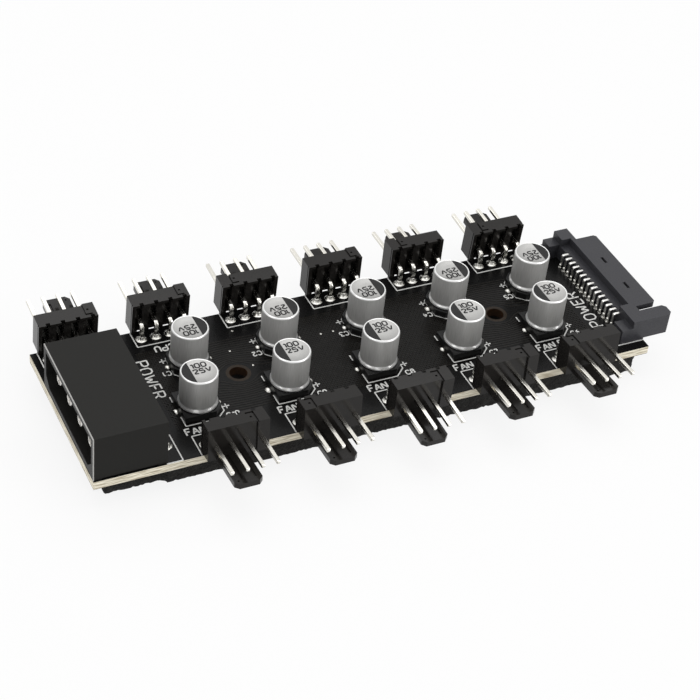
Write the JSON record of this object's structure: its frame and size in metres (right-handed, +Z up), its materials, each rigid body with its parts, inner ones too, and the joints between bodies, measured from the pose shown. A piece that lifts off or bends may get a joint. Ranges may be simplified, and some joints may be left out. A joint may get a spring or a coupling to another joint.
{
  "type": "fan controller hub",
  "caption": "Narrow circuit board that shares power among computer fans, with rows of pin headers, can capacitors and a power connector at each end, on a foam pad.",
  "frame": {"origin": "middle of the foam pad's underside, below the middle of the circuit board", "axes": "+X along the board from the power header to the power plug, +Y across the board from the front row of fan headers to the back row, +Z up out of the board's component side"},
  "size_m": [0.1059, 0.0521, 0.0142],
  "materials": {
    "board_mask": "glossy black solder mask over copper relief, pale cut edges, white print",
    "pad_foam": "matt black cut foam",
    "header_plastic": "satin black moulding, polished faces",
    "pin_metal": "bright tin plating",
    "can_metal": "satin drawn aluminium, pale grained top with dark print",
    "base_plastic": "matt black moulding",
    "power_header_plastic": "fine matt black moulding with worn edges",
    "plug_plastic": "satin blue-grey black moulding",
    "contact_metal": "tinned strip",
    "solder": "bright solder"
  },
  "bodies": {
    "root": {"circuit_board": "board_mask", "foam_pad": "pad_foam", "fan_header_1": "header_plastic", "fan_pins_1": "pin_metal", "fan_header_2": "header_plastic", "fan_pins_2": "pin_metal", "fan_header_3": "header_plastic", "fan_pins_3": "pin_metal", "fan_header_4": "header_plastic", "fan_pins_4": "pin_metal", "fan_header_5": "header_plastic", "fan_pins_5": "pin_metal", "fan_header_6": "header_plastic", "fan_pins_6": "pin_metal", "fan_header_7": "header_plastic", "fan_pins_7": "pin_metal", "fan_header_8": "header_plastic", "fan_pins_8": "pin_metal", "fan_header_9": "header_plastic", "fan_pins_9": "pin_metal", "fan_header_10": "header_plastic", "fan_pins_10": "pin_metal", "fan_header_11": "header_plastic", "fan_pins_11": "pin_metal", "capacitor_base_1": "base_plastic", "capacitor_can_1": "can_metal", "capacitor_base_2": "base_plastic", "capacitor_can_2": "can_metal", "capacitor_base_3": "base_plastic", "capacitor_can_3": "can_metal", "capacitor_base_4": "base_plastic", "capacitor_can_4": "can_metal", "capacitor_base_5": "base_plastic", "capacitor_can_5": "can_metal", "capacitor_base_6": "base_plastic", "capacitor_can_6": "can_metal", "capacitor_base_7": "base_plastic", "capacitor_can_7": "can_metal", "capacitor_base_8": "base_plastic", "capacitor_can_8": "can_metal", "capacitor_base_9": "base_plastic", "capacitor_can_9": "can_metal", "capacitor_base_10": "base_plastic", "capacitor_can_10": "can_metal", "capacitor_leads": "contact_metal", "power_header": "power_header_plastic", "power_header_pins": "contact_metal", "power_plug": "plug_plastic", "power_plug_contacts": "contact_metal", "solder_joints": "solder"}
  },
  "joints": []
}
